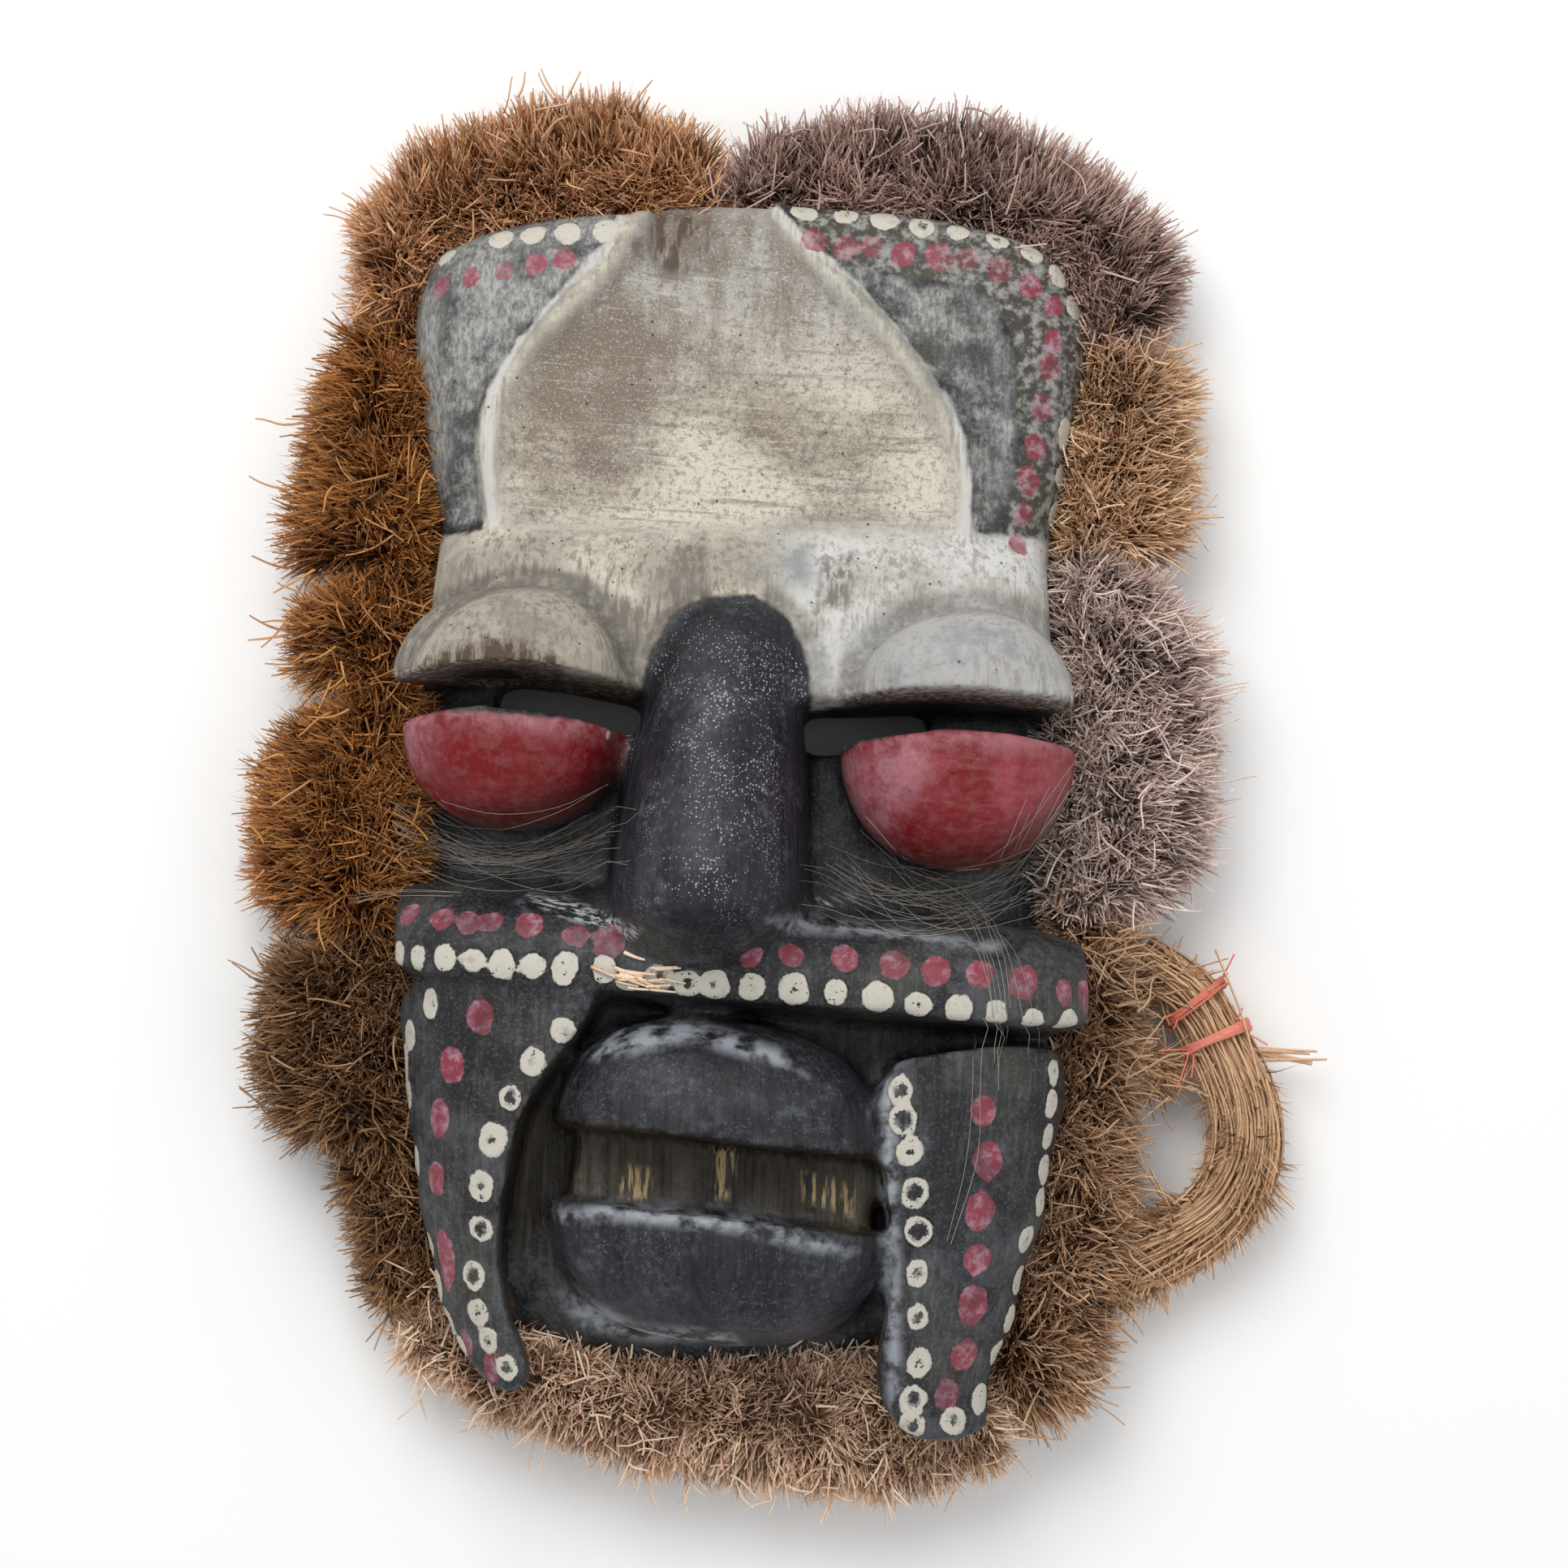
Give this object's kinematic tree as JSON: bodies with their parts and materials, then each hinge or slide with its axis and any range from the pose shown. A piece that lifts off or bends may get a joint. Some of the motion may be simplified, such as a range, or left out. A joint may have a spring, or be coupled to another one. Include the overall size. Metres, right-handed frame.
{
  "type": "tribal mask",
  "caption": "Carved and painted wooden face mask, hollow behind, with eye slots, a long nose, tusk-like cheek panels and a clipped raffia ruff, lying on its back.",
  "frame": {"origin": "middle of the whole object on the floor that its back rim lies on", "axes": "+Z out of the face, +Y towards the forehead, +X towards the raffia loop"},
  "size_m": [0.3676, 0.4736, 0.126],
  "materials": {
    "painted_wood": "worn matt paint",
    "golden_raffia": "dry clipped fibre",
    "dark_raffia": "dry clipped fibre",
    "straw_raffia": "dry clipped fibre",
    "grey_raffia": "dry clipped fibre",
    "red_thread": "twisted thread"
  },
  "bodies": {
    "root": {"mask_wood": "painted_wood", "raffia_crown_right": "dark_raffia", "raffia_brow_right": "straw_raffia", "raffia_eye_right": "grey_raffia", "raffia_jaw_right": "straw_raffia", "raffia_chin": "golden_raffia", "raffia_jaw_left": "golden_raffia", "raffia_cheek_left": "golden_raffia", "raffia_eye_left": "golden_raffia", "raffia_temple_left": "golden_raffia", "raffia_brow_left": "golden_raffia", "raffia_crown_left": "golden_raffia", "raffia_stalk": "straw_raffia", "tie_upper": "red_thread", "tie_lower": "red_thread"}
  },
  "joints": []
}
